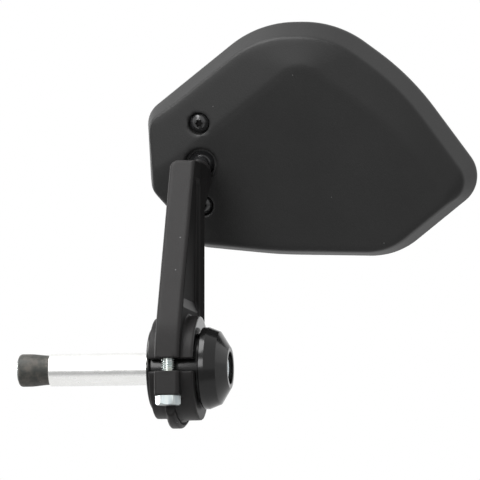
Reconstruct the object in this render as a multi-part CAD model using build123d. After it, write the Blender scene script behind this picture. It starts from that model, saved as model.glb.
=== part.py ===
from build123d import *
import math
import os

os.makedirs("parts", exist_ok=True)

# Bar end mirror. X runs along the handlebar and points outboard, Z is up, and the mirror's back looks to -Y.
# The origin lies on the handlebar's axis, where its end face meets the hub's flange. Sizes are millimetres.

# Fits
turn_gap = 0.05          # radial, between pieces that turn or slide on each other
seat_gap = 0.02          # radial, between pieces that are pressed or screwed together
hole_gap = 0.3           # radial, of a bolt in its clearance hole

# Plug that goes into the handlebar
plug_r = 7.0
plug_length = 44.5       # bare tube outside the hub
tube_wall = 2.4
tube_seat = 10.0         # depth of the tube in the hub
tube_step = 0.5          # of the part in the hub below the bare tube, which rests on the flange
rubber_length = 13.5
rubber_end_step = 0.6    # of the rubber's ends below the tube's surface
rubber_waist_step = 0.1  # of the middle of its barrel
rubber_edge = 1.0        # rounding of its free end
nut_length = 8.0
nut_big_r = 5.0
nut_small_r = 3.9
nut_proud = 0.4          # stands out of the rubber's free end

# Hub
flange_step = 2.4        # of the flange above the journal
flange_t = 1.5
flange_edge = 0.6
journal_r = 15.0
hub_length = 22.3
register_r = 8.0
register_depth = 1.5

# End cap
cap_step = 2.6           # of the cap's rim above the journal
cap_rim = 2.6            # length of its cylindrical rim
cap_taper = 1.9          # of its first cone, in radius
cap_mid = 7.4            # from the hub to the break between its two cones
cap_nose_r = 9.0
cap_length = 11.6
cap_floor = 2.9          # from the hub to the washer's seat
cap_bore_r = 7.0

# Expander bolt, M6 socket head
bolt_r = 3.0
bolt_head_r = 5.0
bolt_head = 6.0
bolt_key = 5.0           # across the flats of its socket
bolt_key_depth = 3.0
bolt_tip = 0.8           # past the nut
washer_r = 6.4
washer_t = 1.2

# Clamp ring and rib of the arm
ring_start = 1.7
ring_end = 21.2
ring_wall = 7.4
rib_start = 4.8
rib_end = 15.8
lobe_wide = 9.2          # of the rib round the ring
rib_height = 3.4
ring_draft = 0.8         # the ring is this much smaller on the rib's inboard side
ring_edge = 0.6
lobe_root = 0.4
lobe_edge = 2.2
slit = 5.4

# Clamp bolt, M6 hexagon head
clamp_bolt_out = 5.6     # of its axis from the journal
clamp_seat_z = -13.3     # foot of the lower ear, where the head sits
clamp_head = 4.0
clamp_key = 10.0
clamp_head_room = 6.2    # radius of the seat cut for the head
clamp_thread = 8.0       # depth of the thread above the slit

# Arm, an I section with a leaning front flange and an upright rear flange
front_step = 0.3         # of the front face below the rib
bend_r = 49.0            # where the front face leaves the ring
lean_deg = 22.7
spread_deg = 0.8         # the blade's lean outboard
arm_top = 90.5
front_flange = 3.0
rear_flange = 4.2
rear_flange_start = 4.1
rear_flange_end = 18.5
rear_flange_flare = 1.8   # each side of its back is this much wider than its front
rear_flange_drop = 4.0   # of the rear flange's top below the arm's top
rear_flange_round = 5.0  # of its upper corners
rear_flange_foot = 20.0  # below it the flange narrows to the rib
pocket_depth = 1.7
pocket_drop = 7.5        # of the pocket's top below the arm's top
pocket_round = 3.0
pocket_corner = 0.7      # rounding at the front of the pocket's foot
pocket_foot = 25.2       # foot of the ramp that ends the pocket
pocket_ramp = 4.8
arm_edge = 1.4
arm_corner = 3.5         # rounding of the front face's inboard corner

# Ball joint between the arm and the mirror
ball_x = 13.5
ball_out = 23.8          # of the ball's centre behind the rear flange
ball_rise = 2.9          # of the ball's centre above the arm's top
tilt_deg = 17.0          # the mirror's back looks this far below the horizon
ball_r = 7.0
neck_r = 3.7
stud_reach = 14.0        # ball's centre to the end of the arm
stud_r = 3.0
stud_depth = 11.0
head_up = 3.6            # the arm's head above and below the stud's axis
head_down = 5.0
head_wide = 11.4
head_round = 5.0
head_taper_drop = 6.5    # of the head's full width below the arm's top
head_flare = 3.6         # the head's sides open out over this length behind the flange
gusset_drop = 19.5       # of the gusset's foot below the arm's top
liner_t = 1.0
rear_liner_band = (54.0, 80.0)       # degrees from the neck
front_liner_band = (97.0, 140.0)
mouth_flare = 0.35       # of the housing's mouth, past the ball's radius
throat_lip = 0.6         # that keeps the ball in

# Mirror housing, in its own plane: u along X, v up the mirror, n out of its back, from the ball's centre.
# The outline is at its widest, and each corner is (u, v, corner radius).
outline = [
    (-24.9, 20.2, 11.0),
    (25.5, 58.9, 48.0),
    (59.6, 58.9, 44.0),
    (90.8, 34.5, 110.0),
    (122.8, -12.6, 14.0),
    (81.2, -44.9, 32.0),
    (30.0, -43.4, 200.0),
    (-5.2, -39.4, 10.0),
    (-24.8, -12.2, 12.0),
]
back_cover = 1.0         # of the back in front of the ball
rim_room = 6.5           # of the rim behind the ball, for the glass on its carrier
rim_height = 5.1         # from the rim to the widest outline
skirt_draft = 4.0 / 13.0  # inset of the skirt for each millimetre towards the back
rim_inset = 2.0
rim_steps = 4
wall = 2.2
corner_room = 0.46       # share of a side that a corner's rounding may take
# The back slopes down from a crease to its four upper sides: the crease's distance from the back's edge
slope_run = [16.5, 10.2, 13.0, 9.0, 0.0, 0.0, 0.0, 0.0, 0.0]
# Steps down the back: depth below it, share of the slope's run, and rounding of the other sides' edge
back_steps = [
    (0.0, 1.18, 2.2),
    (0.15, 1.0, 1.0),
    (0.65, 0.84, 0.3),
    (2.8, 0.19, 0.0),
    (3.2, 0.09, 0.0),
    (3.7, 0.025, 0.0),
    (4.6, 0.0, 0.0),
]

# Housing screws, M4 pan head, above and below the ball
screw_v = 18.0
recess_depths = (4.1, 2.8)           # of the upper and the lower screw, from the back
screw_length = 11.5
screw_r = 2.0
screw_head_r = 3.5
screw_head = 2.3
recess_r = 4.7
screw_boss_r = 6.6
screw_boss = 6.5         # height of its boss
screw_nut = 3.2
screw_nut_key = 7.0
socket_wall = 3.9
socket_seat = 0.2        # foot of the housing's socket, in front of the ball's centre
plate_gap = 1.0          # between the housing's socket and the clamp plate
plate_t = 5.5
plate_wide = 14.0
plate_wall = 4.4         # of the clamp plate round the socket

# Convex glass on its carrier
glass_centre = (46.0, 5.0)
glass_radius = 1200.0
glass_sunk = 0.3         # of the glass's apex below the rim
glass_t = 2.0
pad_t = 0.8
carrier_t = 1.5
glass_inset = 3.4        # of the glass's pocket from the widest outline
glass_gap = 0.25
ledge = 2.0
glass_spread = 7.0       # degrees of its sphere, more than the glass covers

tilt = math.radians(tilt_deg)
lean = math.radians(lean_deg)
spigot_r = plug_r - tube_step
rubber_end_r = plug_r - rubber_end_step
rubber_waist_r = plug_r - rubber_waist_step
flange_r = journal_r + flange_step
cap_r = journal_r + cap_step
cap_mid_r = cap_r - cap_taper
ring_r = journal_r + ring_wall
rib_r = ring_r + rib_height
front_y = front_step - rib_r
clamp_bolt_y = -journal_r - clamp_bolt_out
ball_centre = (ball_x, rib_r + ball_out, arm_top + ball_rise)
rear_flange_top = arm_top - rear_flange_drop
pocket_top = arm_top - pocket_drop
gusset_foot = arm_top - gusset_drop
head_taper_top = arm_top - head_taper_drop
head = Plane(origin=ball_centre, x_dir=(1, 0, 0), z_dir=(0, -math.cos(tilt), -math.sin(tilt)))
arm_x = (rib_start + rib_end) / 2
socket_r = ball_r + liner_t + 2 * turn_gap
mouth_r = ball_r + mouth_flare
throat_r = ball_r - throat_lip
socket_boss_r = socket_r + socket_wall
plate_r = socket_r + plate_wall
back_n = ball_r + back_cover
rim_n = -ball_r - rim_room
wide_n = rim_n + rim_height
glass_n = rim_n + glass_sunk
plate_top = socket_seat - plate_gap
nut_floor = plate_top - plate_t + screw_nut + hole_gap
far = 60.0               # longer than any cut


# Turned pieces on the handlebar's axis

def turned(*profile):
    return revolve(make_face(Polyline(*profile, close=True)), Axis.X)


def hexagon(across_flats):
    return RegularPolygon(across_flats / 2, 6, major_radius=False)


def hub():
    floor = hub_length - register_depth
    bolt_hole = bolt_r + hole_gap
    tube_hole = spigot_r + seat_gap
    rounded = FilletPolyline(
        (0, tube_hole),
        (0, flange_r),
        (flange_t, flange_r),
        (flange_t, journal_r),
        radius=[flange_edge, flange_edge],
    )
    rest = Polyline(
        (flange_t, journal_r),
        (hub_length, journal_r),
        (hub_length, register_r),
        (floor, register_r),
        (floor, bolt_hole),
        (tube_seat, bolt_hole),
        (tube_seat, tube_hole),
        (0, tube_hole),
    )
    return revolve(make_face(rounded.edges() + rest.edges()), Axis.X)


def sleeve_tube():
    bore = plug_r - tube_wall
    return turned(
        (-plug_length, bore),
        (-plug_length, plug_r),
        (0, plug_r),
        (0, spigot_r),
        (tube_seat, spigot_r),
        (tube_seat, bore),
    )


def nut_radius(depth):
    return nut_big_r - (nut_big_r - nut_small_r) * depth / nut_length


def expander_nut():
    start = -plug_length - rubber_length - nut_proud
    end = start + nut_length
    hole = bolt_r + turn_gap
    return turned((start, hole), (start, nut_big_r), (end, nut_small_r), (end, hole))


def expander_rubber():
    start = -plug_length - rubber_length
    cone_end = start - nut_proud + nut_length
    hole = bolt_r + hole_gap
    shoulder = start + rubber_edge
    barrel = ThreePointArc(
        (-plug_length, rubber_end_r),
        ((shoulder - plug_length) / 2, rubber_waist_r),
        (shoulder, rubber_end_r),
    )
    corner = RadiusArc((shoulder, rubber_end_r), (start, rubber_end_r - rubber_edge), -rubber_edge)
    inside = Polyline(
        (start, rubber_end_r - rubber_edge),
        (start, nut_radius(nut_proud) + turn_gap),
        (cone_end, nut_small_r + turn_gap),
        (cone_end, hole),
        (-plug_length, hole),
        (-plug_length, rubber_end_r),
    )
    return revolve(make_face(barrel.edges() + corner.edges() + inside.edges()), Axis.X)


def end_cap():
    floor = hub_length + cap_floor
    spigot = hub_length - register_depth + hole_gap
    bolt_hole = bolt_r + hole_gap
    return turned(
        (spigot, bolt_hole),
        (spigot, register_r - turn_gap),
        (hub_length, register_r - turn_gap),
        (hub_length, cap_r),
        (hub_length + cap_rim, cap_r),
        (hub_length + cap_mid, cap_mid_r),
        (hub_length + cap_length, cap_nose_r),
        (hub_length + cap_length, cap_bore_r),
        (floor, cap_bore_r),
        (floor, bolt_hole),
    )


def bolt_washer():
    start = hub_length + cap_floor
    hole = bolt_r + hole_gap
    return turned((start, hole), (start, washer_r), (start + washer_t, washer_r), (start + washer_t, hole))


def expander_bolt():
    seat = hub_length + cap_floor + washer_t
    top = seat + bolt_head
    tip = -plug_length - rubber_length - nut_proud - bolt_tip
    point = bolt_r / 4
    edge = bolt_head_r / 8
    body = turned(
        (tip, 0),
        (tip, bolt_r - point),
        (tip + point, bolt_r),
        (seat, bolt_r),
        (seat, bolt_head_r),
        (top - edge, bolt_head_r),
        (top, bolt_head_r - edge),
        (top, 0),
    )
    return body - extrude(Plane.YZ.offset(top) * hexagon(bolt_key), -bolt_key_depth)


# Arm: clamp ring, rib, I section and the head for the ball stud, one casting

def slab(points, x0, x1):
    return extrude(Plane.YZ.offset(x0) * make_face(Polyline(*points, close=True)), x1 - x0)


def front_face(offset):
    """Points on the leaning front face, moved inwards by offset: bend's start and end, and the top."""
    bend_y = front_y + bend_r * (1 - math.cos(lean)) + offset * math.cos(lean)
    bend_z = bend_r * math.sin(lean) - offset * math.sin(lean)
    top_y = bend_y + (arm_top - bend_z) * math.tan(lean)
    return (front_y + offset, 0), (bend_y, bend_z), (top_y, arm_top)


def clamp_ring():
    bore = journal_r + turn_gap
    half = lobe_wide / 2
    section = FilletPolyline(
        (ring_start, bore),
        (ring_start, ring_r - ring_draft),
        (arm_x - half, ring_r - ring_draft),
        (arm_x - half, rib_r),
        (arm_x + half, rib_r),
        (arm_x + half, ring_r),
        (ring_end, ring_r),
        (ring_end, bore),
        radius=[ring_edge, lobe_root, lobe_edge, lobe_edge, lobe_root, ring_edge],
    )
    return revolve(make_face(section.edges() + Line((ring_end, bore), (ring_start, bore)).edges()), Axis.X)


def stud_point(along, across):
    """(y, z) of a point along the stud from the ball's centre, and across it upwards."""
    y = ball_centre[1] - along * math.cos(tilt) - across * math.sin(tilt)
    z = ball_centre[2] - along * math.sin(tilt) + across * math.cos(tilt)
    return y, z


def spread(shape):
    """The blade and its pockets, turned outboard about the foot of the blade."""
    return Pos(arm_x, 0, 0) * Rot(0, spread_deg, 0) * Pos(-arm_x, 0, 0) * shape


def blade():
    start, bend, top = front_face(0)
    face_line = Line(bend, top)
    bend_line = RadiusArc(start, bend, bend_r)
    rest = Polyline(top, (rib_r, arm_top), (rib_r, 0), start)
    profile = make_face(bend_line.edges() + face_line.edges() + rest.edges())
    solid = extrude(Plane.YZ.offset(rib_start) * profile, rib_end - rib_start)
    upper = solid.edges().filter_by(Axis.Y).filter_by(lambda e: e.center().Z > arm_top / 2)
    solid = fillet(upper.sort_by(Axis.X)[0], arm_corner)
    sloping = solid.faces().sort_by(Axis.Y)[0:2].sort_by(Axis.Z)[-1]
    front = [e for e in sloping.edges() if e.center().Z > bend[1] + arm_edge]
    front += [e for e in solid.edges().filter_by(GeomType.CIRCLE) if e.center().Z < bend[1]]
    return spread(fillet(front, arm_edge))


def arm_head():
    top_rear = stud_point(stud_reach, head_up)
    foot_rear = stud_point(stud_reach, -head_down)
    lead = front_face(arm_edge)[2]
    half = head_wide / 2
    points = [lead, top_rear, foot_rear, (rib_r, gusset_foot), (rib_r - rear_flange, gusset_foot)]
    solid = slab(points, ball_centre[0] - half, ball_centre[0] + half)
    upper = solid.edges().filter_by(lambda e: e.center().Z > arm_top and e.center().Y < top_rear[0])
    solid = fillet(upper.filter_by(Axis.X, reverse=True), head_round)
    side = ball_centre[0] + half
    front = rib_r - rear_flange
    ahead = Polyline(
        (rear_flange_end - rear_flange_flare, front - far),
        (side + far, front - far),
        (side + far, rib_r + head_flare),
        (side, rib_r + head_flare),
        (rear_flange_end - rear_flange_flare, front),
        close=True,
    )
    solid -= extrude(make_face(ahead), 2 * far)
    beside = Polyline(
        (side, head_taper_top),
        (side + far, head_taper_top),
        (side + far, gusset_foot),
        (rear_flange_end, gusset_foot),
        close=True,
    )
    return solid - extrude(Plane.XZ * make_face(beside), far, both=True)


def pocket(side):
    """Pocket between the flanges; side is 1 outboard and -1 inboard."""
    bend_y, bend_z = front_face(front_flange)[1]
    rear = rib_r - rear_flange
    front_foot = bend_y + (pocket_foot - bend_z) * math.tan(lean)
    front_top = bend_y + (pocket_top - bend_z) * math.tan(lean)
    top_round = min(pocket_round, corner_room * (rear - front_top))
    shape = FilletPolyline(
        (front_foot, pocket_foot),
        (front_top, pocket_top),
        (rear, pocket_top),
        (rear, pocket_foot),
        radius=[pocket_corner, top_round, top_round, pocket_round],
        close=True,
    )
    floor = (rib_end - rib_start) / 2 - pocket_depth
    prism = extrude(Plane.YZ.offset(arm_x) * make_face(shape), side * far)
    depth = make_face(Polyline(
        (arm_x + side * (floor + pocket_depth), pocket_foot),
        (arm_x + side * floor, pocket_foot + pocket_ramp),
        (arm_x + side * floor, pocket_top),
        (arm_x + side * far, pocket_top),
        (arm_x + side * far, pocket_foot),
        close=True,
    ))
    return spread(prism & extrude(Plane.XZ * depth, far, both=True))


def rear_rail():
    """Rear flange: widest at its back, rounded at its top and narrowed at its foot."""
    front = rib_r - rear_flange
    half = lobe_wide / 2
    section = Polyline(
        (rear_flange_start + rear_flange_flare, front),
        (rear_flange_end - rear_flange_flare, front),
        (rear_flange_end, rib_r),
        (rear_flange_start, rib_r),
        close=True,
    )
    shape = FilletPolyline(
        (arm_x - half, 0),
        (rear_flange_start, rear_flange_foot),
        (rear_flange_start, rear_flange_top),
        (rear_flange_end, rear_flange_top),
        (rear_flange_end, rear_flange_foot),
        (arm_x + half, 0),
        radius=[0, 0, rear_flange_round, rear_flange_round, 0, 0],
        close=True,
    )
    return extrude(make_face(section), arm_top) & extrude(Plane.XZ * make_face(shape), far, both=True)


def arm():
    half_slit = slit / 2
    bolt_axis = Pos(arm_x, clamp_bolt_y, 0)
    ear = slab([(front_y, 0), (0, 0), (0, clamp_seat_z), (front_y, clamp_seat_z)], rib_start, rib_end)
    ear_front = ear.edges().filter_by(Axis.Z).sort_by(Axis.Y)[0:2]
    ear = fillet(ear_front, arm_edge)
    casting = clamp_ring() + blade() + rear_rail() + arm_head() + ear
    casting -= pocket(1)
    casting -= pocket(-1)
    casting -= Plane.YZ * Cylinder(journal_r + turn_gap, 2 * far)
    casting -= Pos(arm_x, -far / 2, 0) * Box(far, far, slit)
    casting -= bolt_axis * Pos(0, 0, clamp_seat_z / 2) * Cylinder(bolt_r + hole_gap, -clamp_seat_z)
    thread_top = half_slit + clamp_thread
    casting -= bolt_axis * Pos(0, 0, thread_top / 2) * Cylinder(bolt_r + seat_gap, thread_top)
    casting -= bolt_axis * Pos(0, 0, clamp_seat_z - far / 2) * Cylinder(clamp_head_room, far)
    stud_hole = stud_reach + stud_depth
    casting -= head * Pos(0, 0, stud_hole / 2) * Cylinder(stud_r + seat_gap, stud_hole)
    return casting


def clamp_bolt():
    shank_top = slit / 2 + clamp_thread
    shank = Pos(0, 0, (shank_top + clamp_seat_z) / 2) * Cylinder(bolt_r, shank_top - clamp_seat_z)
    hex_head = extrude(Pos(0, 0, clamp_seat_z) * hexagon(clamp_key), -clamp_head)
    return Pos(arm_x, clamp_bolt_y, 0) * (shank + hex_head)


# Ball joint, in the head's own frame

def ball_stud():
    neck = Pos(0, 0, stud_reach / 2) * Cylinder(neck_r, stud_reach)
    shank = Pos(0, 0, stud_reach + stud_depth / 2) * Cylinder(stud_r, stud_depth)
    return Sphere(ball_r) + neck + shank


def spherical_band(inner, outer, band):
    """Ring between two concentric spheres, from one angle to another off the +n axis."""
    low = 90 - band[1]
    sweep = band[1] - band[0]
    inside = CenterArc((0, 0), inner, low, sweep)
    outside = CenterArc((0, 0), outer, low, sweep)
    ends = [Line(inside @ 0, outside @ 0), Line(inside @ 1, outside @ 1)]
    section = make_face(inside.edges() + outside.edges() + ends[0].edges() + ends[1].edges())
    return revolve(Plane.XZ * section, Axis.Z)


def socket_liner(band):
    inner = ball_r + turn_gap
    return spherical_band(inner, inner + liner_t, band)


# Mirror housing and what it holds

def panel(n, insets):
    """The outline as a face at height n, with each side moved inwards by its own inset."""
    count = len(outline)
    sides = []
    for i in range(count):
        u0, v0, _ = outline[i]
        u1, v1, _ = outline[(i + 1) % count]
        length = math.hypot(u1 - u0, v1 - v0)
        normal = ((v1 - v0) / length, (u0 - u1) / length)
        sides.append((normal, normal[0] * u0 + normal[1] * v0 + insets[i]))
    corners = []
    for i in range(count):
        (a, b), c = sides[i - 1]
        (d, e), f = sides[i]
        det = a * e - b * d
        corners.append(Vector((c * e - b * f) / det, (a * f - c * d) / det))
    radii = []
    for i in range(count):
        before = corners[i] - corners[i - 1]
        after = corners[(i + 1) % count] - corners[i]
        half_turn = math.radians(before.get_angle(after)) / 2
        room = corner_room * min(before.length, after.length) / math.tan(half_turn)
        radius = outline[i][2]
        radii.append(min(max(radius - (insets[i - 1] + insets[i]) / 2, radius / 4), room))
    return Pos(0, 0, n) * make_face(FilletPolyline(*corners, radius=radii, close=True))


def even(inset):
    return [inset] * len(outline)


def back_sections(depth):
    """Sections down the back, on its outer face or some depth inside it."""
    sections = []
    for drop, share, edge in back_steps:
        n = back_n - drop
        skirt = (n - wide_n) * skirt_draft + depth
        insets = [skirt + share * run if run else skirt + edge for run in slope_run]
        sections.append(panel(n - depth, insets))
    return sections


def rim_sections():
    """Sections of the rounded rim, from the widest outline to the glass's edge."""
    sections = []
    for i in range(rim_steps + 1):
        turn = math.pi / 2 * i / rim_steps
        n = wide_n + (rim_n - wide_n) * math.sin(turn)
        sections.append(panel(n, even(rim_inset * (1 - math.cos(turn)))))
    return sections


def dish(inner, outer):
    """Spherical cap concentric with the glass."""
    apex = Pos(glass_centre[0], glass_centre[1], glass_n + glass_radius)
    return apex * spherical_band(inner, outer, (180.0 - glass_spread, 180.0))


def glass_stack(outer_depth, thickness, inset):
    """A curved sheet of the glass's outline, some depth behind the glass's face."""
    outer = glass_radius - outer_depth
    return extrude(panel(rim_n - wall, even(inset)), far) & dish(outer - thickness, outer)


def screw_places():
    """Place of each screw and the height of its seat."""
    return [(Pos(0, v, 0), back_n - depth) for v, depth in zip((screw_v, -screw_v), recess_depths)]


def housing():
    stack = glass_t + pad_t + carrier_t + turn_gap
    outer = loft(back_sections(0) + rim_sections(), ruled=True)
    inner = back_sections(wall)
    shell = outer - loft(inner, ruled=True)
    shell -= extrude(inner[-1], -far)
    pocket_prism = extrude(panel(rim_n - wall, even(glass_inset)), far)
    shell -= pocket_prism - dish(glass_radius - 2 * far, glass_radius - stack)
    boss = back_n - socket_seat
    shell += outer & Pos(0, 0, socket_seat + boss / 2) * Cylinder(socket_boss_r, boss)
    for place, seat in screw_places():
        shell += outer & place * Pos(0, 0, back_n - screw_boss / 2) * Cylinder(screw_boss_r, screw_boss)
    shell -= Sphere(socket_r)
    throat_n = math.sqrt(socket_r**2 - throat_r**2)
    mouth = [Pos(0, 0, throat_n) * Circle(throat_r), Pos(0, 0, back_n) * Circle(mouth_r)]
    shell -= loft(mouth, ruled=True)
    shell -= Pos(0, 0, throat_n / 2) * Cylinder(throat_r, throat_n)
    for place, seat in screw_places():
        shell -= place * Pos(0, 0, seat + far / 2) * Cylinder(recess_r, far)
        shell -= place * Cylinder(screw_r + hole_gap, far)
    return shell


def socket_clamp_plate():
    blank = SlotCenterToCenter(2 * screw_v, plate_wide)
    plan = Rot(0, 0, 90) * blank + Circle(plate_r)
    plate = extrude(Pos(0, 0, plate_top) * plan, -plate_t)
    plate -= Sphere(socket_r)
    for place, seat in screw_places():
        plate -= place * Cylinder(screw_r + hole_gap, far)
        plate -= extrude(place * Pos(0, 0, nut_floor) * hexagon(screw_nut_key + 2 * turn_gap), -far)
    return plate


def clamp_plate_nuts():
    nuts = []
    for place, seat in screw_places():
        nut = extrude(place * Pos(0, 0, nut_floor) * hexagon(screw_nut_key), -screw_nut)
        nuts.append(nut - place * Cylinder(screw_r + seat_gap, far))
    return Compound(nuts)


def housing_screws():
    screws = []
    for place, seat in screw_places():
        shank = Pos(0, 0, seat - screw_length / 2) * Cylinder(screw_r, screw_length)
        top = Pos(0, 0, seat + screw_head / 2) * Cylinder(screw_head_r, screw_head)
        rim = top.edges().filter_by(GeomType.CIRCLE).sort_by(Axis.Z)[-1]
        screws.append(place * (shank + fillet(rim, screw_head / 2)))
    return Compound(screws)


def mirror_glass():
    return glass_stack(0, glass_t, glass_inset + glass_gap)


def glass_pad():
    return glass_stack(glass_t, pad_t, glass_inset + ledge)


def glass_carrier():
    return glass_stack(glass_t + pad_t, carrier_t, glass_inset + glass_gap)


nodes = {
    "hub": hub(),
    "sleeve_tube": sleeve_tube(),
    "expander_rubber": expander_rubber(),
    "expander_nut": expander_nut(),
    "end_cap": end_cap(),
    "bolt_washer": bolt_washer(),
    "expander_bolt": expander_bolt(),
    "arm": arm(),
    "clamp_bolt": clamp_bolt(),
    "ball_stud": head * ball_stud(),
    "socket_liner_rear": head * socket_liner(rear_liner_band),
    "socket_liner_front": head * socket_liner(front_liner_band),
    "housing": head * housing(),
    "socket_clamp_plate": head * socket_clamp_plate(),
    "clamp_plate_nuts": head * clamp_plate_nuts(),
    "housing_screws": head * housing_screws(),
    "glass_carrier": head * glass_carrier(),
    "glass_pad": head * glass_pad(),
    "mirror_glass": head * mirror_glass(),
}

for name, solid in nodes.items():
    export_step(solid, f"parts/{name}.step")
    print(name, round(solid.volume))
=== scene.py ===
import math
import bpy
from mathutils import Matrix, Vector


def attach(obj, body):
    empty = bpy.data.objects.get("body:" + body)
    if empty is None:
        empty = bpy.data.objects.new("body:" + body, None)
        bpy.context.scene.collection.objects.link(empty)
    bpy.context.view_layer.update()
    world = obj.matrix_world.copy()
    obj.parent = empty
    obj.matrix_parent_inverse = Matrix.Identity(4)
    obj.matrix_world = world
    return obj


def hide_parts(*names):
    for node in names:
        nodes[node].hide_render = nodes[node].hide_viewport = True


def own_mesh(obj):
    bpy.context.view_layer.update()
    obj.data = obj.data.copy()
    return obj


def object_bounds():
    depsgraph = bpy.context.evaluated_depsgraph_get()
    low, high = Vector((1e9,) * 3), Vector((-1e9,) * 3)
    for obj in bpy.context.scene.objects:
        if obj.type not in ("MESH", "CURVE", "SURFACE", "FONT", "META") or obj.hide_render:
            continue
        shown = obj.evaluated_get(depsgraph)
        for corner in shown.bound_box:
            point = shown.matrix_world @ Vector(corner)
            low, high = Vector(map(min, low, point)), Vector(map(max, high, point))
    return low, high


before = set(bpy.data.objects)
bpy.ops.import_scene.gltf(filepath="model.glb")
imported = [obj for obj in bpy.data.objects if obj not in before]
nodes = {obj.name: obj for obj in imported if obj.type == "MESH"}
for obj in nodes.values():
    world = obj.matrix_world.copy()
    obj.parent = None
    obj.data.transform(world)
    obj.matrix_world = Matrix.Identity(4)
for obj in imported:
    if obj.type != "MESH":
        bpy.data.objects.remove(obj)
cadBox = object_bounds()
mm = 0.001
weld = {"spun": 0.002 * mm, "packed": 0.003 * mm, "thread": 0.001 * mm}  # points closer than this become one


# small helpers round the operators

def deselectAll():
    if bpy.context.object and bpy.context.object.mode != "OBJECT":
        bpy.ops.object.mode_set(mode="OBJECT")
    bpy.ops.object.select_all(action="DESELECT")


def makeActive(piece):
    deselectAll()
    piece.select_set(True)
    bpy.context.view_layer.objects.active = piece


def editAll(piece):
    makeActive(piece)
    bpy.ops.object.mode_set(mode="EDIT")
    bpy.ops.mesh.select_all(action="SELECT")


def leaveEdit():
    bpy.ops.object.mode_set(mode="OBJECT")


def applyPlace(piece):
    makeActive(piece)
    bpy.ops.object.transform_apply(location=True, rotation=True, scale=True)


def selectVerts(piece, test):
    # selects by place, in object mode, then goes back to edit mode
    bpy.ops.mesh.select_all(action="DESELECT")
    bpy.ops.object.mode_set(mode="OBJECT")
    for vert in piece.data.vertices:
        vert.select = test(vert.co)
    bpy.ops.object.mode_set(mode="EDIT")


def applyModifier(piece, kind, **settings):
    makeActive(piece)
    modifier = piece.modifiers.new(kind.lower(), kind)
    for key, value in settings.items():
        setattr(modifier, key, value)
    bpy.ops.object.modifier_apply(modifier=modifier.name)


def smoothShade(piece, angle):
    makeActive(piece)
    bpy.ops.object.shade_smooth_by_angle(angle=math.radians(angle))


def roundCorners(corners, segments=5):
    # corners are (x, r, rounding) in millimetres; each rounded corner becomes a short run of points
    points = []
    for i, (x, r, rounding) in enumerate(corners):
        here = Vector((x, r))
        if not rounding:
            points.append((x, r))
            continue
        before = (Vector(corners[i - 1][:2]) - here).normalized()
        after = (Vector(corners[(i + 1) % len(corners)][:2]) - here).normalized()
        half = before.angle(after) / 2
        middle = here + (before + after).normalized() * rounding / math.sin(half)
        first = here + before * rounding / math.tan(half) - middle
        last = here + after * rounding / math.tan(half) - middle
        for k in range(segments + 1):
            points.append(tuple(middle + first.lerp(last, k / segments).normalized() * rounding))
    return points


def drawLine(name, points, place=(0, 0, 0)):
    # a line of (x, r) points in millimetres, drawn in the XZ plane from one vertex
    deselectAll()
    bpy.ops.mesh.primitive_plane_add(size=mm, location=place)
    piece = bpy.context.object
    piece.name = name
    editAll(piece)
    bpy.ops.mesh.merge(type="CENTER")
    x, r = points[0]
    bpy.ops.transform.translate(value=(x * mm, 0, r * mm))
    for nextX, nextR in points[1:]:
        step = ((nextX - x) * mm, 0, (nextR - r) * mm)
        bpy.ops.mesh.extrude_region_move(TRANSFORM_OT_translate={"value": step})
        x, r = nextX, nextR
    return piece


def closeSeams():
    # merges what lies together, turns the faces outwards and leaves edit mode
    bpy.ops.mesh.select_all(action="SELECT")
    bpy.ops.mesh.remove_doubles(threshold=weld["spun"])
    bpy.ops.mesh.normals_make_consistent(inside=False)
    leaveEdit()


def turnedPiece(name, corners, steps=96, angle=40):
    # spun round the X axis; a profile that starts and ends on the axis is solid, any other is a ring
    points = roundCorners(corners)
    if points[0][1] > 0:
        points.append(points[0])
    piece = drawLine(name, points)
    bpy.ops.mesh.select_all(action="SELECT")
    bpy.ops.mesh.remove_doubles(threshold=weld["spun"])
    bpy.ops.mesh.spin(steps=steps, angle=2 * math.pi, center=(0, 0, 0), axis=(1, 0, 0))
    closeSeams()
    smoothShade(piece, angle)
    return piece


def carve(piece, tool, operation="DIFFERENCE"):
    applyModifier(piece, "BOOLEAN", object=tool, operation=operation, solver="EXACT")
    deselectAll()
    bpy.data.objects.remove(tool)


def turnTo(piece, place, axis, side):
    # lays the piece's X along axis and its Z along side, from a place in millimetres
    axis, side = Vector(axis), Vector(side)
    turn = Matrix((axis, side.cross(axis), side)).transposed().to_4x4()
    piece.matrix_world = Matrix.Translation(Vector(place) * mm) @ turn
    applyPlace(piece)


def joinPieces(name, *pieces):
    makeActive(pieces[0])
    for piece in pieces[1:]:
        piece.select_set(True)
    bpy.ops.object.join()
    pieces[0].name = name
    return pieces[0]


def cadCopy(name, node):
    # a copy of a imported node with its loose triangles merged
    piece = bpy.data.objects.new(name, nodes[node].data.copy())
    bpy.context.scene.collection.objects.link(piece)
    editAll(piece)
    bpy.ops.mesh.remove_doubles(threshold=weld["packed"])
    leaveEdit()
    return piece


def softCast(name, node, cast, *tools):
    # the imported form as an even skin, with its edges rounded as a mould leaves them
    piece = cadCopy(name, node)
    for tool in tools:
        carve(piece, tool)
    applyModifier(piece, "REMESH", mode="VOXEL", voxel_size=cast["voxel"] * mm, use_smooth_shade=True)
    applyModifier(piece, "SMOOTH", factor=0.5, iterations=cast["rounds"])
    smoothShade(piece, 60)
    return piece


def settle(piece, body, material, stand):
    # the last word on a piece: place applied, finish, body and what it stands for
    applyPlace(piece)
    piece.data.materials.clear()
    piece.data.materials.append(material)
    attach(piece, body)
    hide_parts(stand)
    print("piece", piece.name, "on", body, len(piece.data.polygons), "faces")


# node helpers

def newMaterial(name):
    material = bpy.data.materials.new(name)
    material.use_nodes = True
    tree = material.node_tree
    shader = tree.nodes["Principled BSDF"]
    return material, tree, shader


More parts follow.
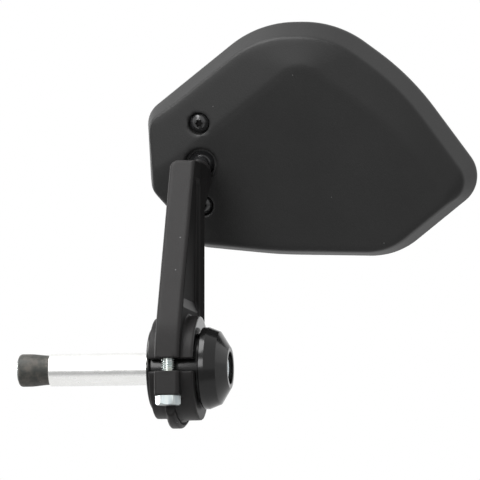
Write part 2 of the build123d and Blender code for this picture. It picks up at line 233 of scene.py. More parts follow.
def addNode(tree, kind, **settings):
    node = tree.nodes.new(kind)
    for key, value in settings.items():
        if key in node.bl_rna.properties:
            setattr(node, key, value)
        else:
            node.inputs[key].default_value = value
    return node


def grainGroup():
    # fine moulded or sprayed texture: a height, and a slow drift of tone
    group = bpy.data.node_groups.new("surfaceGrain", "ShaderNodeTree")
    face = group.interface
    face.new_socket("Grain Size", in_out="INPUT", socket_type="NodeSocketFloat").default_value = 2500
    face.new_socket("Drift Size", in_out="INPUT", socket_type="NodeSocketFloat").default_value = 25
    face.new_socket("Height", in_out="OUTPUT", socket_type="NodeSocketFloat")
    face.new_socket("Drift", in_out="OUTPUT", socket_type="NodeSocketFloat")
    start = group.nodes.new("NodeGroupInput")
    end = group.nodes.new("NodeGroupOutput")
    place = group.nodes.new("ShaderNodeTexCoord")
    grain = addNode(group, "ShaderNodeTexNoise", Detail=2.0, Roughness=0.55)
    drift = addNode(group, "ShaderNodeTexNoise", Detail=3.0, Roughness=0.6)
    link = group.links.new
    link(place.outputs["Object"], grain.inputs["Vector"])
    link(place.outputs["Object"], drift.inputs["Vector"])
    link(start.outputs["Grain Size"], grain.inputs["Scale"])
    link(start.outputs["Drift Size"], drift.inputs["Scale"])
    link(grain.outputs["Fac"], end.inputs["Height"])
    link(drift.outputs["Fac"], end.inputs["Drift"])
    return group


def speckGroup():
    # sparse pale specks of dust
    bareShare = 0.72  # of the cells, which hold no speck
    group = bpy.data.node_groups.new("dustSpecks", "ShaderNodeTree")
    face = group.interface
    face.new_socket("Spacing", in_out="INPUT", socket_type="NodeSocketFloat").default_value = 160
    face.new_socket("Speck", in_out="INPUT", socket_type="NodeSocketFloat").default_value = 0.05
    face.new_socket("Mask", in_out="OUTPUT", socket_type="NodeSocketFloat")
    start = group.nodes.new("NodeGroupInput")
    end = group.nodes.new("NodeGroupOutput")
    place = group.nodes.new("ShaderNodeTexCoord")
    cells = addNode(group, "ShaderNodeTexVoronoi", feature="F1", Randomness=1.0)
    near = addNode(group, "ShaderNodeMath", operation="LESS_THAN")
    some = addNode(group, "ShaderNodeMath", operation="GREATER_THAN")
    some.inputs[1].default_value = bareShare
    both = addNode(group, "ShaderNodeMath", operation="MULTIPLY")
    split = group.nodes.new("ShaderNodeSeparateColor")
    link = group.links.new
    link(place.outputs["Object"], cells.inputs["Vector"])
    link(start.outputs["Spacing"], cells.inputs["Scale"])
    link(cells.outputs["Distance"], near.inputs[0])
    link(start.outputs["Speck"], near.inputs[1])
    link(cells.outputs["Color"], split.inputs["Color"])
    link(split.outputs["Red"], some.inputs[0])
    link(near.outputs[0], both.inputs[0])
    link(some.outputs[0], both.inputs[1])
    link(both.outputs[0], end.inputs["Mask"])
    return group


surfaceGrain = grainGroup()
dustSpecks = speckGroup()


def grainedBlack(name, look):
    # black finish with grain in its relief, a drift of tone and a little dust
    material, tree, shader = newMaterial(name)
    link = tree.links.new
    grain = addNode(tree, "ShaderNodeGroup", node_tree=surfaceGrain)
    grain.inputs["Grain Size"].default_value = look["grainSize"]
    grain.inputs["Drift Size"].default_value = look["driftSize"]
    tone = addNode(tree, "ShaderNodeMix", data_type="RGBA")
    tone.inputs["A"].default_value = (*look["dark"], 1)
    tone.inputs["B"].default_value = (*look["light"], 1)
    spread = look.get("spread", 0.3)  # of the drift's noise round its middle
    blotch = addNode(tree, "ShaderNodeMapRange")
    blotch.inputs["From Min"].default_value = 0.5 - spread
    blotch.inputs["From Max"].default_value = 0.5 + spread
    link(grain.outputs["Drift"], blotch.inputs["Value"])
    link(blotch.outputs["Result"], tone.inputs["Factor"])
    specks = addNode(tree, "ShaderNodeGroup", node_tree=dustSpecks)
    specks.inputs["Spacing"].default_value = look["dustSpacing"]
    specks.inputs["Speck"].default_value = look["dustSize"]
    dusty = addNode(tree, "ShaderNodeMix", data_type="RGBA")
    dusty.inputs["B"].default_value = (*look["dust"], 1)
    link(specks.outputs["Mask"], dusty.inputs["Factor"])
    link(tone.outputs["Result"], dusty.inputs["A"])
    link(dusty.outputs["Result"], shader.inputs["Base Color"])
    rough = addNode(tree, "ShaderNodeMapRange")
    rough.inputs["To Min"].default_value = look["roughness"][0]
    rough.inputs["To Max"].default_value = look["roughness"][1]
    link(grain.outputs["Drift"], rough.inputs["Value"])
    link(rough.outputs["Result"], shader.inputs["Roughness"])
    bump = addNode(tree, "ShaderNodeBump", Strength=look["bump"])
    bump.inputs["Distance"].default_value = look["relief"]
    link(grain.outputs["Height"], bump.inputs["Height"])
    link(bump.outputs["Normal"], shader.inputs["Normal"])
    shader.inputs["Specular IOR Level"].default_value = look["specular"]
    return material


shellLook = {
    "dark": (0.012, 0.012, 0.012), "light": (0.0175, 0.0175, 0.0175), "dust": (0.12, 0.12, 0.12),
    "grainSize": 1400, "driftSize": 22, "dustSpacing": 140, "dustSize": 0.03,
    "roughness": (0.44, 0.54), "bump": 0.45, "relief": 0.1 * mm, "specular": 0.28,
}
castingLook = {
    "dark": (0.017, 0.0163, 0.0163), "light": (0.024, 0.023, 0.023), "dust": (0.2, 0.2, 0.21),
    "grainSize": 1500, "driftSize": 40, "dustSpacing": 150, "dustSize": 0.035,
    "roughness": (0.38, 0.46), "bump": 0.4, "relief": 0.1 * mm, "specular": 0.12,
}
roughLook = {
    "dark": (0.014, 0.014, 0.014), "light": (0.024, 0.023, 0.023), "dust": (0.16, 0.16, 0.17),
    "grainSize": 1600, "driftSize": 60, "dustSpacing": 240, "dustSize": 0.04,
    "roughness": (0.62, 0.72), "bump": 0.5, "relief": 0.06 * mm, "specular": 0.04,
}
turnedLook = {
    "dark": (0.006, 0.006, 0.006), "light": (0.009, 0.009, 0.009), "dust": (0.08, 0.08, 0.08),
    "grainSize": 4000, "driftSize": 60, "dustSpacing": 200, "dustSize": 0.02,
    "roughness": (0.14, 0.20), "bump": 0.05, "relief": 0.01 * mm, "specular": 0.33,
}
rubberLook = {
    "dark": (0.038, 0.040, 0.036), "light": (0.090, 0.083, 0.073), "dust": (0.17, 0.16, 0.14),
    "grainSize": 2200, "driftSize": 260, "spread": 0.12, "dustSpacing": 420, "dustSize": 0.09,
    "roughness": (0.45, 0.62), "bump": 0.25, "relief": 0.03 * mm, "specular": 0.28,
}
oxideLook = {
    "dark": (0.020, 0.020, 0.021), "light": (0.032, 0.032, 0.033), "dust": (0.1, 0.1, 0.1),
    "grainSize": 5000, "driftSize": 90, "dustSpacing": 300, "dustSize": 0.02,
    "roughness": (0.15, 0.24), "bump": 0.1, "relief": 0.01 * mm, "specular": 0.6,
}
linerLook = {
    "dark": (0.05, 0.05, 0.05), "light": (0.08, 0.08, 0.08), "dust": (0.2, 0.2, 0.2),
    "grainSize": 3000, "driftSize": 120, "dustSpacing": 300, "dustSize": 0.02,
    "roughness": (0.25, 0.35), "bump": 0.05, "relief": 0.01 * mm, "specular": 0.5,
}


def paintedReflectionStreak(tree, place, lines, colour, streak):
    # a painted reflection: a darker band with a ragged edge along the front of the tube, standing in for the
    # dark floor reflected there
    link = tree.links.new
    spot = addNode(tree, "ShaderNodeSeparateXYZ")
    link(place.outputs["Object"], spot.inputs[0])
    ragged = addNode(tree, "ShaderNodeMath", operation="MULTIPLY_ADD")
    ragged.inputs[1].default_value = streak["ragged"]
    link(lines.outputs["Fac"], ragged.inputs[0])
    link(spot.outputs["Z"], ragged.inputs[2])
    band = addNode(tree, "ShaderNodeMath", operation="COMPARE")
    band.inputs[1].default_value = streak["height"] + streak["ragged"] / 2
    band.inputs[2].default_value = streak["half"]
    link(ragged.outputs[0], band.inputs[0])
    front = addNode(tree, "ShaderNodeMath", operation="LESS_THAN")
    front.inputs[1].default_value = 0.0
    link(spot.outputs["Y"], front.inputs[0])
    both = addNode(tree, "ShaderNodeMath", operation="MULTIPLY")
    link(band.outputs[0], both.inputs[0])
    link(front.outputs[0], both.inputs[1])
    paintedDarkBand = addNode(tree, "ShaderNodeMix", data_type="RGBA")
    paintedDarkBand.inputs["B"].default_value = (*streak["tone"], 1)
    link(both.outputs[0], paintedDarkBand.inputs["Factor"])
    link(colour, paintedDarkBand.inputs["A"])
    return paintedDarkBand.outputs["Result"]


def metalFinish(name, look):
    # bare or plated metal: tone and gloss drift, with fine lines along one axis; on the clamp bolt's head the
    # lines are painted reflection streaks, and a streak in the look is a painted reflection band
    material, tree, shader = newMaterial(name)
    link = tree.links.new
    place = addNode(tree, "ShaderNodeTexCoord")
    stretch = addNode(tree, "ShaderNodeMapping")
    stretch.inputs["Scale"].default_value = look["stretch"]
    lines = addNode(tree, "ShaderNodeTexNoise", Scale=look["lines"], Detail=3.0, Roughness=0.6)
    link(place.outputs["Object"], stretch.inputs["Vector"])
    link(stretch.outputs["Vector"], lines.inputs["Vector"])
    tone = addNode(tree, "ShaderNodeMix", data_type="RGBA")
    tone.inputs["A"].default_value = (*look["cool"], 1)
    tone.inputs["B"].default_value = (*look["warm"], 1)
    link(lines.outputs["Fac"], tone.inputs["Factor"])
    colour = tone.outputs["Result"]
    # a look with a streak gets a painted reflection band along the front
    if "streak" in look:
        colour = paintedReflectionStreak(tree, place, lines, colour, look["streak"])
    link(colour, shader.inputs["Base Color"])
    rough = addNode(tree, "ShaderNodeMapRange")
    rough.inputs["To Min"].default_value = look["roughness"][0]
    rough.inputs["To Max"].default_value = look["roughness"][1]
    link(lines.outputs["Fac"], rough.inputs["Value"])
    link(rough.outputs["Result"], shader.inputs["Roughness"])
    bump = addNode(tree, "ShaderNodeBump", Strength=look["bump"])
    bump.inputs["Distance"].default_value = 0.01 * mm
    link(lines.outputs["Fac"], bump.inputs["Height"])
    link(bump.outputs["Normal"], shader.inputs["Normal"])
    shader.inputs["Metallic"].default_value = 1.0
    return material


zincLook = {
    "cool": (0.48, 0.56, 0.61), "warm": (0.70, 0.69, 0.60), "stretch": (1, 1, 1), "lines": 420,
    "roughness": (0.2, 0.34), "bump": 0.1,
}
# painted reflection: vertical light and dark streaks on the clamp bolt's hex head stand in for the studio
# reflected in its facets
streakReflectionLook = {
    "cool": (0.18, 0.24, 0.28), "warm": (0.64, 0.65, 0.61), "stretch": (1, 1, 0.1), "lines": 480,
    "roughness": (0.26, 0.38), "bump": 0.12,
}
satinLook = {
    "cool": (0.66, 0.76, 0.82), "warm": (0.93, 0.94, 0.92), "stretch": (1, 1, 1), "lines": 420,
    "roughness": (0.55, 0.68), "bump": 0.1,
}
tubeLook = {
    "cool": (0.78, 0.78, 0.76), "warm": (0.97, 0.97, 0.96), "stretch": (0.3, 1, 1), "lines": 520,
    "roughness": (0.22, 0.32), "bump": 0.12,
    # the streak is a painted reflection: a darker band for the floor reflected along the tube's front
    "streak": {"height": -2.3 * mm, "half": 0.95 * mm, "ragged": 3.2 * mm, "tone": (0.84, 0.84, 0.83)},
}
mirrorLook = {"tone": (0.82, 0.84, 0.86), "driftSize": 14, "haze": (0.012, 0.05)}

shellPlastic = grainedBlack("shellPlastic", shellLook)
castingPaint = grainedBlack("castingPaint", castingLook)
# rough cast finish for the blade's sides, also used as painted shade in the screws' star recesses
roughCastAndRecessShade = grainedBlack("roughCastAndRecessShade", roughLook)
# turned black for the hub and cap, also the painted highlight on the upper half of the clamp ring's end face
turnedBlackAndEndHighlight = grainedBlack("turnedBlackAndEndHighlight", turnedLook)
barrelRubber = grainedBlack("barrelRubber", rubberLook)
blackOxide = grainedBlack("blackOxide", oxideLook)
linerPlastic = grainedBlack("linerPlastic", linerLook)
zincPlate = metalFinish("zincPlate", zincLook)
drawnZinc = metalFinish("drawnZinc", streakReflectionLook)
satinZinc = metalFinish("satinZinc", satinLook)
brightTube = metalFinish("brightTube", tubeLook)


def mirrorFinish(look):
    # a silvered back behind glass with a faint uneven haze
    material, tree, shader = newMaterial("silveredGlass")
    shader.inputs["Base Color"].default_value = (*look["tone"], 1)
    shader.inputs["Metallic"].default_value = 1.0
    film = addNode(tree, "ShaderNodeGroup", node_tree=surfaceGrain)
    film.inputs["Drift Size"].default_value = look["driftSize"]
    haze = addNode(tree, "ShaderNodeMapRange")
    haze.inputs["To Min"].default_value = look["haze"][0]
    haze.inputs["To Max"].default_value = look["haze"][1]
    tree.links.new(film.outputs["Drift"], haze.inputs["Value"])
    tree.links.new(haze.outputs["Result"], shader.inputs["Roughness"])
    return material


silveredGlass = mirrorFinish(mirrorLook)
print("materials made")


# the mirror's own frame: ball centre, across, up the mirror and out of its back

headPlace = Vector((13.5, 49.6, 93.4))
across = Vector((1, 0, 0))
tilt = math.radians(17)
headUp = Vector((0, -math.sin(tilt), math.cos(tilt)))
headOut = Vector((0, -math.cos(tilt), -math.sin(tilt)))


# moulded shell and cast arm

shellCast = {"voxel": 0.71, "rounds": 2}
housing = softCast("housing_shell", "housing", shellCast)
# the skirt on the inboard side stands steeper than the others
steepSide = {"edge": -20.0, "fade": -9.0, "foot": -8.4, "lean": 0.118}
for vert in housing.data.vertices:
    off = vert.co / mm - headPlace
    rise = off.dot(headOut) - steepSide["foot"]
    share = (steepSide["fade"] - off.x) / (steepSide["fade"] - steepSide["edge"])
    share = min(max(share, 0), 1)
    if rise > 0:
        vert.co.x -= steepSide["lean"] * rise * share ** 2 * (3 - 2 * share) * mm
settle(housing, "mirror_head", shellPlastic, "housing")

ribShape = {
    "middle": 10.3, "half": 1.5, "reach": 7.0, "ringRadius": {-1: 21.62, 1: 22.42}, "ribRadius": 25.8,
    "edge": 1.4, "rootRound": 0.3, "edgeRound": 0.8, "spare": 0.3, "front": -22.0,
    "widen": math.radians(4), "below": -14.0, "block": 100.0,
}


def ribTool(side):
    # a ring beside the rib below the clamp, turned a little so that the rib widens to the rear
    near = ribShape["middle"] + side * ribShape["half"]
    far = near + side * ribShape["reach"]
    inner, outer = ribShape["ringRadius"][side], ribShape["ribRadius"]
    past = outer + ribShape["spare"]
    tool = turnedPiece("rib_trim", [
        (far, inner, 0), (near, inner, ribShape["rootRound"]),
        (near, outer - ribShape["edge"], ribShape["edgeRound"]),
        (near - side * ribShape["edge"], past, 0), (far, past, 0)])
    pivot = Matrix.Translation(Vector((ribShape["middle"], ribShape["front"], 0)) * mm)
    tool.matrix_world = pivot @ Matrix.Rotation(-side * ribShape["widen"], 4, "Z") @ pivot.inverted()
    applyPlace(tool)
    deselectAll()
    blockHeight = ribShape["below"] - ribShape["block"] / 2
    bpy.ops.mesh.primitive_cube_add(size=ribShape["block"] * mm, location=(0, 0, blockHeight * mm))
    carve(tool, bpy.context.object, "INTERSECT")
    return tool


armCast = {"voxel": 0.5, "rounds": 2}
arm = softCast("arm_casting", "arm", armCast, ribTool(-1), ribTool(1))
settle(arm, "arm", castingPaint, "arm")
# the blade's sides are rough; the clamp ring's outboard end face gets the glossy turned finish on its upper
# half, a painted highlight where light falls from above, and keeps the paint on its lower half, painted shade
# where the cap shades it
armSides = {"facing": 0.88, "level": 0.22, "endFace": 20.5 * mm}
arm.data.materials.append(roughCastAndRecessShade)
arm.data.materials.append(turnedBlackAndEndHighlight)
for face in arm.data.polygons:
    if face.center.x > armSides["endFace"] and face.normal.x > armSides["facing"]:
        # upper half glossy as a painted highlight, lower half paint as painted shade
        face.material_index = 2 if face.center.z > 0 else 0
    elif abs(face.normal.x) > armSides["facing"] and abs(face.normal.z) < armSides["level"]:
        face.material_index = 1


# convex glass: a curved sheet trimmed to the glass's outline

sheet = {
    "wide": 170 * mm, "tall": 130 * mm, "cells": (68, 52), "curve": 1200 * mm, "thick": 2 * mm,
    "sunk": 13.2, "middle": (46.0, 5.0), "reach": 15 * mm,
}
deselectAll()
bpy.ops.mesh.primitive_grid_add(x_subdivisions=sheet["cells"][0], y_subdivisions=sheet["cells"][1], size=1)
glass = bpy.context.object
glass.name = "convex_glass"
editAll(glass)
bpy.ops.transform.resize(value=(sheet["wide"], sheet["tall"], 1))
leaveEdit()


def sagAt(spot):
    # how far the curved sheet has left its middle's plane
    return sheet["curve"] - math.sqrt(sheet["curve"] ** 2 - spot.x ** 2 - spot.y ** 2)


for vert in glass.data.vertices:
    vert.co.z = sagAt(vert.co)
applyModifier(glass, "SOLIDIFY", thickness=sheet["thick"], offset=1)
apex = headPlace + across * sheet["middle"][0] + headUp * sheet["middle"][1] - headOut * sheet["sunk"]
glassTurn = Matrix((across, headUp, headOut)).transposed().to_4x4()
glassPlace = Matrix.Translation(apex * mm) @ glassTurn
trim = cadCopy("glass_trim", "mirror_glass")
trim.matrix_world = glassPlace.inverted()
applyPlace(trim)
editAll(trim)
selectVerts(trim, lambda spot: spot.z > sagAt(spot) + sheet["thick"] / 2)
bpy.ops.mesh.delete(type="VERT")
bpy.ops.mesh.select_all(action="SELECT")
bpy.ops.transform.resize(value=(1, 1, 0), center_override=(0, 0, 0))
bpy.ops.transform.translate(value=(0, 0, -sheet["reach"]))
bpy.ops.mesh.dissolve_limited()
bpy.ops.mesh.select_all(action="SELECT")
bpy.ops.mesh.extrude_region_move(TRANSFORM_OT_translate={"value": (0, 0, 2 * sheet["reach"])})
closeSeams()
carve(glass, trim, "INTERSECT")
glass.matrix_world = glassPlace
smoothShade(glass, 30)
settle(glass, "mirror_head", silveredGlass, "mirror_glass")


# plug that goes into the handlebar

tubeShape = {
    "steps": 128,
    "corners": [
        (-44.5, 4.6, 0.3), (-44.5, 7.0, 0.45), (0, 7.0, 0), (0, 6.5, 0), (10, 6.5, 0.3), (10, 4.6, 0.3)],
}
tube = turnedPiece("sleeve_tube_bright", tubeShape["corners"], tubeShape["steps"])
settle(tube, "bar_end", brightTube, "sleeve_tube")

rubberShape = {
    "start": -58.0, "end": -44.5, "endRadius": 6.3, "swell": 0.7, "widest": -53.5, "edge": 1.7, "points": 14,
    "mouth": 4.99, "coneEnd": -50.4, "coneRadius": 3.95, "bore": 3.3, "smooth": 60,
}
barrel = []
for k in range(rubberShape["points"] + 1):
    share = k / rubberShape["points"]
    along = rubberShape["end"] + (rubberShape["widest"] - rubberShape["end"]) * share
    barrel.append((along, rubberShape["endRadius"] + rubberShape["swell"] * share ** 2 * (3 - 2 * share), 0))
barrel += [
    (rubberShape["start"], rubberShape["endRadius"] + rubberShape["swell"], rubberShape["edge"]),
    (rubberShape["start"], rubberShape["mouth"], 0.2),
    (rubberShape["coneEnd"], rubberShape["coneRadius"], 0),
    (rubberShape["coneEnd"], rubberShape["bore"], 0),
    (rubberShape["end"], rubberShape["bore"], 0),
]
rubber = turnedPiece("expander_rubber_barrel", barrel, angle=rubberShape["smooth"])
settle(rubber, "bar_end", barrelRubber, "expander_rubber")
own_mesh(rubber)

nutShape = {"corners": [(-58.4, 3.05, 0.25), (-58.4, 5.0, 0.35), (-50.4, 3.9, 0.2), (-50.4, 3.05, 0.2)]}
coneNut = turnedPiece("expander_nut_cone", nutShape["corners"])
settle(coneNut, "expander_nut", zincPlate, "expander_nut")


# hub, end cap and washer, turned

hubShape = {
    "steps": 160,
    "corners": [
        (0, 6.52, 0), (0, 17.4, 0.6), (1.5, 17.4, 0.6), (1.5, 15, 0), (22.3, 15, 0.5), (22.3, 8, 0.3),
        (20.8, 8, 0), (20.8, 3.3, 0.2), (10, 3.3, 0), (10, 6.52, 0)],
}
hub = turnedPiece("hub_turned", hubShape["corners"], hubShape["steps"])
settle(hub, "bar_end", turnedBlackAndEndHighlight, "hub")

capShape = {
    "steps": 160,
    "corners": [
        (21.1, 3.3, 0), (21.1, 7.95, 0.3), (22.3, 7.95, 0), (22.3, 17.6, 0.5), (24.9, 17.6, 0.35),
        (29.7, 15.7, 0.3), (33.9, 9.0, 0.3), (33.9, 7.0, 0.35), (25.2, 7.0, 0.3), (25.2, 3.3, 0)],
}
cap = turnedPiece("end_cap_turned", capShape["corners"], capShape["steps"])
settle(cap, "bar_end", turnedBlackAndEndHighlight, "end_cap")

washerShape = {"corners": [(25.2, 3.3, 0.15), (25.2, 6.4, 0.25), (26.4, 6.4, 0.25), (26.4, 3.3, 0.15)]}
washer = turnedPiece("bolt_washer_plain", washerShape["corners"])
settle(washer, "bar_end", zincPlate, "bolt_washer")


# bolts

def threadPiece(name, place, thread):
    # one pitch of the thread's outline, swept up its helix and closed at both ends
    root, crest, pitch = thread["root"], thread["crest"], thread["pitch"]
    rootEnd, crestStart, crestEnd = [share * pitch for share in thread["flanks"]]
    line = [(root, 0), (root, rootEnd), (crest, crestStart), (crest, crestEnd), (root, pitch)]
    piece = drawLine(name, line, Vector(place) * mm)
    leaveEdit()
    applyModifier(piece, "SCREW", axis="Z", angle=2 * math.pi, screw_offset=pitch * mm,
                  iterations=thread["turns"], steps=thread["steps"], render_steps=thread["steps"],
                  use_merge_vertices=True, merge_threshold=weld["thread"])
    editAll(piece)
    bpy.ops.mesh.remove_doubles(threshold=weld["thread"])
    bpy.ops.mesh.fill_holes(sides=0)
    closeSeams()
    smoothShade(piece, 30)
    return piece


def hexBar(name, acrossFlats, depth, place, turn):
    # a hexagon bar along Z, turned about its own axis
    deselectAll()
    bpy.ops.mesh.primitive_cylinder_add(vertices=6, radius=acrossFlats / math.sqrt(3) * mm, depth=depth * mm,
                                        location=Vector(place) * mm, rotation=(0, 0, turn))
    piece = bpy.context.object
    piece.name = name
    applyPlace(piece)
    return piece


clampShape = {
    "axis": (10.3, -20.6), "seat": -13.3, "head": 4.0, "key": 9.65, "turn": math.radians(35),
    "trim": [(0, 0, 0), (0, 5.45, 0), (3.3, 5.45, 0.2), (4.0, 4.8, 0.3), (4.0, 0, 0)],
    "edge": 0.12 * mm, "edgeAngle": math.radians(30), "shank": 7.5, "shankRadius": 2.95, "overlap": 0.5,
    "thread": {
        "root": 2.3, "crest": 2.96, "pitch": 1.0, "flanks": (0.25, 0.56, 0.69), "turns": 15, "steps": 40},
}
clampFoot = (*clampShape["axis"], clampShape["seat"])
clampHead = hexBar("clamp_bolt_hex", clampShape["key"], clampShape["head"],
                   (*clampShape["axis"], clampShape["seat"] - clampShape["head"] / 2), clampShape["turn"])
headTrim = turnedPiece("clamp_head_trim", clampShape["trim"])
turnTo(headTrim, clampFoot, (0, 0, -1), (1, 0, 0))
carve(clampHead, headTrim, "INTERSECT")
applyModifier(clampHead, "BEVEL", width=clampShape["edge"], segments=2, limit_method="ANGLE",
              angle_limit=clampShape["edgeAngle"])
smoothShade(clampHead, 12)
clampShank = turnedPiece("clamp_shank", [
    (0, 0, 0), (0, clampShape["shankRadius"], 0), (clampShape["shank"], clampShape["shankRadius"], 0.4),
    (clampShape["shank"], 0, 0)], 64)
turnTo(clampShank, clampFoot, (0, 0, 1), (1, 0, 0))
threadFoot = clampShape["seat"] + clampShape["shank"] - clampShape["overlap"]
clampThread = threadPiece("clamp_thread", (*clampShape["axis"], threadFoot), clampShape["thread"])
clampBolt = joinPieces("clamp_bolt_hexagon", clampHead, clampShank, clampThread)
# the head's finish carries painted reflection streaks
settle(clampBolt, "arm", drawnZinc, "clamp_bolt")
clampBolt.data.materials.append(zincPlate)  # on all but the head
for face in clampBolt.data.polygons:
    if face.center.z > clampShape["seat"] * mm:
        face.material_index = 1

expanderShape = {
    "tip": -59.2, "tipRadius": 2.3, "lead": 0.7, "radius": 3.0, "seat": 26.4, "headRadius": 5.0, "top": 32.4,
    "key": 5.0, "keyDepth": 3.0, "keyTurn": math.radians(30),
}
expander = turnedPiece("expander_bolt_socket", [
    (expanderShape["tip"], 0, 0), (expanderShape["tip"], expanderShape["tipRadius"], 0.15),
    (expanderShape["tip"] + expanderShape["lead"], expanderShape["radius"], 0.15),
    (expanderShape["seat"], expanderShape["radius"], 0.3),
    (expanderShape["seat"], expanderShape["headRadius"], 0.2),
    (expanderShape["top"], expanderShape["headRadius"], 0.6), (expanderShape["top"], 0, 0)])
socket = hexBar("key_socket", expanderShape["key"], 2 * expanderShape["keyDepth"], (0, 0, 0),
                expanderShape["keyTurn"])
turnTo(socket, (expanderShape["top"], 0, 0), (0, 0, -1), (1, 0, 0))
carve(expander, socket)
smoothShade(expander, 30)
settle(expander, "expander_bolt", satinZinc, "expander_bolt")


# ball stud and the two housing screws

studShape = {"ball": 7.0, "neck": 3.7, "reach": 14.0, "shank": 3.0, "end": 25.0, "points": 22}
studLine = []
for k in range(studShape["points"] + 1):
    turn = math.pi - (math.pi - math.asin(studShape["neck"] / studShape["ball"])) * k / studShape["points"]
    studLine.append((studShape["ball"] * math.cos(turn), studShape["ball"] * math.sin(turn) if k else 0, 0))
studLine += [
    (studShape["reach"], studShape["neck"], 0.3), (studShape["reach"], studShape["shank"], 0),
    (studShape["end"], studShape["shank"], 0.4), (studShape["end"], 0, 0),
]
stud = turnedPiece("ball_stud_black", studLine, 72)
turnTo(stud, headPlace, headOut, headUp)
settle(stud, "arm", blackOxide, "ball_stud")

screwShape = {
    "head": 4.1, "tall": 2.3, "side": 0.92, "crown": 2.1, "crownRound": 1.6, "shank": 2.0, "length": 11.5,
    "star": (1.85, 1.25), "starRound": 0.22 * mm, "starDepth": 1.4, "starLip": 0.35,
    "places": [(18.0, 3.9), (-18.0, 5.2)],
}


def starTool():
    # a six-lobed driver: every other point of a ring drawn in, then rounded and extruded
    deselectAll()
    bpy.ops.mesh.primitive_circle_add(vertices=12, radius=screwShape["star"][0] * mm, fill_type="NGON",
                                      rotation=(0, math.radians(90), 0))
    tool = bpy.context.object
    tool.name = "star_driver"
    applyPlace(tool)
    for vert in tool.data.vertices:
        if vert.index % 2:
            vert.co *= screwShape["star"][1] / screwShape["star"][0]
    editAll(tool)
    bpy.ops.mesh.bevel(offset=screwShape["starRound"], segments=3, affect="VERTICES")
    bpy.ops.mesh.select_all(action="SELECT")
    bpy.ops.mesh.extrude_region_move(TRANSFORM_OT_translate={"value": (2 * screwShape["tall"] * mm, 0, 0)})
    bpy.ops.mesh.select_all(action="SELECT")
    bpy.ops.mesh.normals_make_consistent(inside=False)
    bpy.ops.transform.translate(value=((screwShape["tall"] - screwShape["starDepth"]) * mm, 0, 0))
    leaveEdit()
    return tool


panScrew = turnedPiece("housing_screw_upper", [
    (-screwShape["length"], 0, 0), (-screwShape["length"], screwShape["shank"], 0.5),
    (0, screwShape["shank"], 0), (0, screwShape["head"], 0.15), (screwShape["side"], screwShape["head"], 0.6),
    (screwShape["tall"], screwShape["crown"], screwShape["crownRound"]), (screwShape["tall"], 0, 0)], 72)
carve(panScrew, starTool())
smoothShade(panScrew, 35)
secondScrew = panScrew.copy()
secondScrew.data = panScrew.data.copy()
secondScrew.name = "housing_screw_lower"
bpy.context.scene.collection.objects.link(secondScrew)
for screw, (rise, seat) in zip((panScrew, secondScrew), screwShape["places"]):
    turnTo(screw, headPlace + headUp * rise + headOut * seat, headOut, headUp)
    settle(screw, "mirror_head", blackOxide, "housing_screws")
    screw.data.materials.append(roughCastAndRecessShade)  # the star recess is painted dark, painted shade in its hollow
    # faces inside the star recess take the dark finish as painted shade
    top = headPlace + headUp * rise + headOut * (seat + screwShape["tall"] - screwShape["starLip"])
    for face in screw.data.polygons:
        off = face.center - top * mm
        depth = off.dot(headOut)
        inside = (off - headOut * depth).length < screwShape["star"][0] * mm
        if inside and -screwShape["starDepth"] * mm < depth < 0:
            face.material_index = 1


# what the shell hides keeps its packed form

plainFinishes = {
    "socket_liner_rear": linerPlastic, "socket_liner_front": linerPlastic, "socket_clamp_plate": blackOxide,
    "clamp_plate_nuts": zincPlate, "glass_carrier": shellPlastic, "glass_pad": barrelRubber,
}
for name, material in plainFinishes.items():
    nodes[name].data.materials.clear()
    nodes[name].data.materials.append(material)
print("finishes given")


# camera: a long lens a little below the mirror, turned to the outboard side

shot = {"azimuth": 9.7, "elevation": -4.8, "pixelsPerMm": 2.3256, "originPixel": (152.9, 368.5),
        "imageSide": 480, "distance": 8.5, "depth": 25 * mm, "sensor": 36.0}
azimuth = math.radians(shot["azimuth"])
elevation = math.radians(shot["elevation"])
back = Vector((math.sin(azimuth) * math.cos(elevation), -math.cos(azimuth) * math.cos(elevation),
               math.sin(elevation)))
right = Vector((math.cos(azimuth), math.sin(azimuth), 0))
up = back.cross(right)
middle = shot["imageSide"] / 2
target = (right * (middle - shot["originPixel"][0]) + up * (shot["originPixel"][1] - middle))
target = target / shot["pixelsPerMm"] * mm - back * shot["depth"]
deselectAll()
bpy.ops.object.camera_add(location=target + back * shot["distance"])
camera = bpy.context.object
camera.name = "photoCamera"
camera.rotation_euler = (-back).to_track_quat("-Z", "Y").to_euler()
fieldWidth = shot["imageSide"] / shot["pixelsPerMm"] * mm
camera.data.sensor_width = shot["sensor"]
camera.data.lens = shot["sensor"] * shot["distance"] / fieldWidth
camera.data.clip_end = 100
bpy.context.scene.camera = camera
print("camera set, lens", round(camera.data.lens))


# studio: a pale floor well below, soft lamps and a white room

studio = {
    "floorDrop": 0.75, "floorSide": 10.0, "floorTone": 0.8, "floorGleam": 0.88,
    "sheetFront": -0.7, "sheetFade": 0.3, "pastSheet": 0.5, "roomLight": 0.28,
}


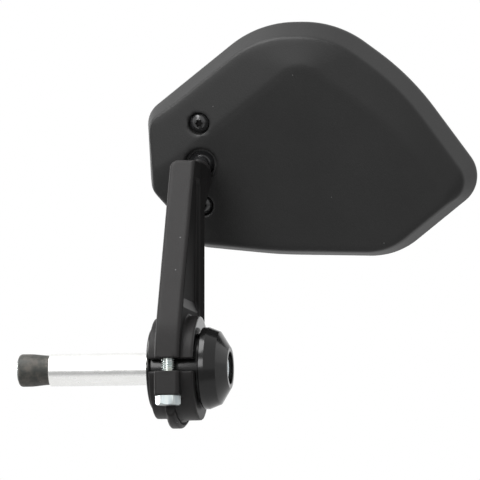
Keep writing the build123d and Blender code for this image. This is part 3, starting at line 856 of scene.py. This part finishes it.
def floorFinish():
    # pale paint that keeps shadows, clear from below; it is white to the camera and in reflections,
    # where it dims past the sheet's front edge
    material, tree, paint = newMaterial("floorPaint")
    link = tree.links.new
    paint.inputs["Base Color"].default_value = (studio["floorTone"],) * 3 + (1,)
    paint.inputs["Roughness"].default_value = 0.9
    path = addNode(tree, "ShaderNodeLightPath")
    seen = addNode(tree, "ShaderNodeMath", operation="MAXIMUM")
    link(path.outputs["Is Camera Ray"], seen.inputs[0])
    link(path.outputs["Is Glossy Ray"], seen.inputs[1])
    share = addNode(tree, "ShaderNodeMath", operation="MULTIPLY")
    share.inputs[1].default_value = studio["floorGleam"]
    link(seen.outputs[0], share.inputs[0])
    place = addNode(tree, "ShaderNodeTexCoord")
    spot = addNode(tree, "ShaderNodeSeparateXYZ")
    link(place.outputs["Object"], spot.inputs[0])
    sheetEdge = addNode(tree, "ShaderNodeMapRange")
    sheetEdge.inputs["From Min"].default_value = studio["sheetFront"] - studio["sheetFade"]
    sheetEdge.inputs["From Max"].default_value = studio["sheetFront"]
    sheetEdge.inputs["To Min"].default_value = studio["pastSheet"]
    link(spot.outputs["Y"], sheetEdge.inputs["Value"])
    glow = addNode(tree, "ShaderNodeMath", operation="MAXIMUM")
    link(sheetEdge.outputs["Result"], glow.inputs[0])
    link(path.outputs["Is Camera Ray"], glow.inputs[1])
    white = addNode(tree, "ShaderNodeEmission")
    link(glow.outputs[0], white.inputs["Strength"])
    top = addNode(tree, "ShaderNodeMixShader")
    link(share.outputs[0], top.inputs["Fac"])
    link(paint.outputs[0], top.inputs[1])
    link(white.outputs[0], top.inputs[2])
    clear = addNode(tree, "ShaderNodeBsdfTransparent")
    facing = addNode(tree, "ShaderNodeNewGeometry")
    twoSided = addNode(tree, "ShaderNodeMixShader")
    link(facing.outputs["Backfacing"], twoSided.inputs["Fac"])
    link(top.outputs[0], twoSided.inputs[1])
    link(clear.outputs[0], twoSided.inputs[2])
    link(twoSided.outputs[0], tree.nodes["Material Output"].inputs["Surface"])
    return material


deselectAll()
bpy.ops.mesh.primitive_plane_add(size=studio["floorSide"], location=(0, 0, cadBox[0].z - studio["floorDrop"]))
floor = bpy.context.object
floor.name = "studioFloor"
floor.data.materials.append(floorFinish())

# lamps: place from the object's middle, size and power
lamps = {
    "overheadSoftbox": {"place": (-0.4, -0.4, 0.85), "size": (0.9, 0.65), "power": 15.5},
    "frontFill": {"place": (-0.4, -1.3, 0.2), "size": (0.5, 0.5), "power": 6.0},
    "outboardFill": {"place": (1.1, 0.35, 0.75), "size": (1.4, 1.4), "power": 2.5},
    "inboardStrip": {"place": (-1.0, 0.3, 0.1), "size": (0.12, 0.5), "power": 6.0},
}
centre = (cadBox[0] + cadBox[1]) / 2
for name, settings in lamps.items():
    offset = Vector(settings["place"])
    deselectAll()
    bpy.ops.object.light_add(type="AREA", location=centre + offset)
    lamp = bpy.context.object
    lamp.name = name
    lamp.rotation_euler = (-offset).to_track_quat("-Z", "Y").to_euler()
    lamp.data.shape = "RECTANGLE"
    lamp.data.size, lamp.data.size_y = settings["size"]
    lamp.data.energy = settings["power"]


def whiteRoom():
    # white where it is seen or reflected, and dimmer as a light
    world = bpy.data.worlds.new("whiteRoom")
    bpy.context.scene.world = world
    world.use_nodes = True
    tree = world.node_tree
    tree.nodes.clear()
    link = tree.links.new
    out = addNode(tree, "ShaderNodeOutputWorld")
    white = addNode(tree, "ShaderNodeBackground", Strength=1.0)
    white.inputs["Color"].default_value = (1, 1, 1, 1)
    dim = addNode(tree, "ShaderNodeBackground", Strength=studio["roomLight"])
    dim.inputs["Color"].default_value = (1, 1, 1, 1)
    mix = addNode(tree, "ShaderNodeMixShader")
    path = addNode(tree, "ShaderNodeLightPath")
    seen = addNode(tree, "ShaderNodeMath", operation="MAXIMUM")
    shown = addNode(tree, "ShaderNodeMath", operation="MAXIMUM")
    link(path.outputs["Is Camera Ray"], seen.inputs[0])
    link(path.outputs["Is Glossy Ray"], seen.inputs[1])
    link(seen.outputs[0], shown.inputs[0])
    link(path.outputs["Is Transmission Ray"], shown.inputs[1])
    link(shown.outputs[0], mix.inputs["Fac"])
    link(dim.outputs[0], mix.inputs[1])
    link(white.outputs[0], mix.inputs[2])
    link(mix.outputs[0], out.inputs["Surface"])


whiteRoom()
bpy.context.scene.view_settings.view_transform = "Standard"
print("studio lit")
